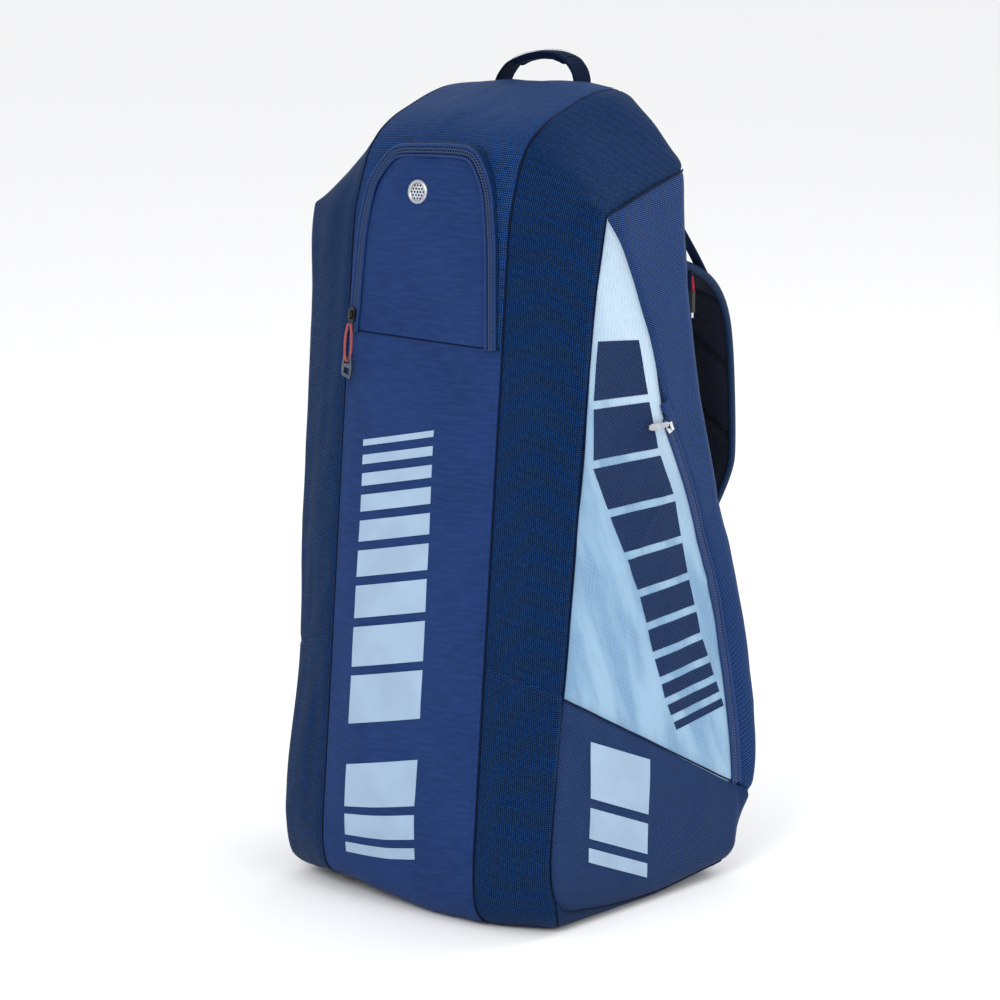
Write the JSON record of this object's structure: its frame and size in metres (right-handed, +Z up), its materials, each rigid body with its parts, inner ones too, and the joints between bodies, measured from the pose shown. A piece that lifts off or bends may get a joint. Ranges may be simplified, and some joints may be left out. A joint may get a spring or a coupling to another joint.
{
  "type": "racket tournament bag",
  "caption": "Upright padded racket bag with two side-opening racket compartments, a front accessory pocket with a vent, side zip pockets, carry handle and padded shoulder straps.",
  "frame": {"origin": "on the floor, in the middle of the base", "axes": "+Z up along the bag, -Y towards the front with the accessory pocket, +Y towards the shoulder straps"},
  "size_m": [0.367, 0.3425, 0.7995],
  "materials": {
    "smooth_weave": "navy-blue fine plain weave with faint cross slubs",
    "textured_weave": "darker navy dobby weave with small raised cells",
    "twill_weave": "navy diagonal twill",
    "light_ripstop": "light blue ripstop with fine grid and soft creases",
    "base_fabric": "navy coated fabric",
    "back_mesh": "dark padded air mesh",
    "lining_fabric": "grey woven lining",
    "piping_fabric": "satin navy piping",
    "zip_tape": "woven zip tape with nylon coil",
    "webbing": "ribbed woven webbing",
    "strap_fabric": "navy padded strap with black mesh inside",
    "vent_metal": "satin",
    "vent_mesh": "perforated satin grey",
    "black_slider": "gloss black",
    "chrome_slider": "polished",
    "gunmetal_tab": "dark gunmetal",
    "red_cord": "braided red cord",
    "pull_rubber": "matt moulded rubber",
    "buckle_plastic": "moulded black acetal",
    "stiffener_plastic": "plain sheet"
  },
  "bodies": {
    "root": {"spine_lower_panel": "smooth_weave", "spine_upper_panel": "smooth_weave", "top_panel": "smooth_weave", "base_tray": "base_fabric", "base_board": "stiffener_plastic", "back_panel_lower": "back_mesh", "back_panel_upper": "back_mesh", "back_frame_sheet": "stiffener_plastic", "centre_divider": "lining_fabric", "spine_piping": "piping_fabric", "right_main_zip": "zip_tape", "left_main_zip": "zip_tape", "pocket_wall": "smooth_weave", "pocket_pouch": "lining_fabric", "pocket_zip": "zip_tape", "handle_anchors": "webbing", "strap_yoke": "webbing", "lower_webbing": "webbing"},
    "right_cover": {"right_front_strip_lower": "textured_weave", "right_front_strip_upper": "textured_weave", "right_shoulder_panel": "textured_weave", "right_side_pocket_panel": "light_ripstop", "right_side_lower_panel": "twill_weave", "right_side_rear_panel": "twill_weave", "right_side_zip": "zip_tape", "right_side_pocket_lining": "lining_fabric", "right_rear_strip": "twill_weave"},
    "left_cover": {"left_front_strip_lower": "textured_weave", "left_front_strip_upper": "textured_weave", "left_shoulder_panel": "textured_weave", "left_side_pocket_panel": "light_ripstop", "left_side_lower_panel": "twill_weave", "left_side_rear_panel": "twill_weave", "left_side_zip": "zip_tape", "left_side_pocket_lining": "lining_fabric", "left_rear_strip": "twill_weave"},
    "pocket_flap": {"pocket_flap": "smooth_weave", "vent_grommet": "vent_metal", "vent_mesh": "vent_mesh"},
    "pocket_slider": {"pocket_slider": "black_slider"},
    "pocket_pull": {"pull_cord": "red_cord", "pull_tab": "gunmetal_tab"},
    "right_side_slider": {"right_side_slider": "chrome_slider"},
    "right_side_pull": {"right_side_pull": "chrome_slider"},
    "right_main_slider": {"right_main_slider": "black_slider"},
    "right_main_pull": {"right_main_pull": "pull_rubber"},
    "right_strap": {"right_strap_pad_upper": "strap_fabric", "right_strap_pad_lower": "strap_fabric", "right_load_lifter": "webbing", "right_ladder_lock": "buckle_plastic"},
    "left_side_slider": {"left_side_slider": "chrome_slider"},
    "left_side_pull": {"left_side_pull": "chrome_slider"},
    "left_main_slider": {"left_main_slider": "black_slider"},
    "left_main_pull": {"left_main_pull": "pull_rubber"},
    "left_strap": {"left_strap_pad_upper": "strap_fabric", "left_strap_pad_lower": "strap_fabric", "left_load_lifter": "webbing", "left_ladder_lock": "buckle_plastic"},
    "handle": {"handle_webbing": "webbing", "handle_grip": "webbing"}
  },
  "joints": [
    {"name": "right_cover_hinge", "type": "hinge", "parent": "root", "child": "right_cover", "pos_m": [0.15, 0.17239, 0.02], "axis": [0, -0.1038, 0.9946], "range_deg": [0, 50]},
    {"name": "left_cover_hinge", "type": "hinge", "parent": "root", "child": "left_cover", "pos_m": [-0.15, 0.17239, 0.02], "axis": [0, 0.1038, -0.9946], "range_deg": [0, 50]},
    {"name": "pocket_flap_hinge", "type": "hinge", "parent": "root", "child": "pocket_flap", "pos_m": [0, -0.124, 0.5435], "axis": [1, 0, 0], "range_deg": [0, 110]},
    {"name": "pocket_slider_slide", "type": "slide", "parent": "root", "child": "pocket_slider", "axis": [0.0837, 0.0574, 0.9948], "range_m": [0, 0.075]},
    {"name": "pocket_pull_swing", "type": "hinge", "parent": "pocket_slider", "child": "pocket_pull", "pos_m": [-0.08574, -0.12684, 0.55], "axis": [-1, 0, 0], "range_deg": [0, 80]},
    {"name": "right_side_slider_run", "type": "hinge", "parent": "right_cover", "child": "right_side_slider", "pos_m": [0.16825, -0.75578, 0.0099], "axis": [-0.9999, 0, 0.015], "range_deg": [0, 24.1]},
    {"name": "left_side_slider_run", "type": "hinge", "parent": "left_cover", "child": "left_side_slider", "pos_m": [-0.16825, -0.75578, 0.0099], "axis": [-0.9999, 0, -0.015], "range_deg": [0, 24.1]},
    {"name": "right_side_pull_swing", "type": "hinge", "parent": "right_side_slider", "child": "right_side_pull", "pos_m": [0.18007, 0.01587, 0.46475], "axis": [0.015, 0, 0.9999], "range_deg": [0, 90]},
    {"name": "left_side_pull_swing", "type": "hinge", "parent": "left_side_slider", "child": "left_side_pull", "pos_m": [-0.18007, 0.01587, 0.46475], "axis": [0.015, 0, -0.9999], "range_deg": [0, 90]},
    {"name": "right_main_slider_slide", "type": "slide", "parent": "root", "child": "right_main_slider", "axis": [0, -0.0767, 0.9971], "range_m": [0, 0.08]},
    {"name": "left_main_slider_slide", "type": "slide", "parent": "root", "child": "left_main_slider", "axis": [0, -0.0767, 0.9971], "range_m": [0, 0.08]},
    {"name": "right_main_pull_swing", "type": "hinge", "parent": "right_main_slider", "child": "right_main_pull", "pos_m": [0.1483, 0.0683, 0.597], "axis": [1, 0, 0], "range_deg": [0, 80]},
    {"name": "left_main_pull_swing", "type": "hinge", "parent": "left_main_slider", "child": "left_main_pull", "pos_m": [-0.1483, 0.0683, 0.597], "axis": [1, 0, 0], "range_deg": [0, 80]},
    {"name": "handle_swing", "type": "hinge", "parent": "root", "child": "handle", "pos_m": [0, 0.05, 0.7695], "axis": [1, 0, 0], "range_deg": [-40, 40], "stiffness_Nm_per_rad": 0.05},
    {"name": "right_strap_hinge", "type": "hinge", "parent": "root", "child": "right_strap", "pos_m": [0.098, 0.057, 0.702], "axis": [1, 0, 0], "range_deg": [0, 10]},
    {"name": "left_strap_hinge", "type": "hinge", "parent": "root", "child": "left_strap", "pos_m": [-0.098, 0.057, 0.702], "axis": [1, 0, 0], "range_deg": [0, 10]}
  ]
}
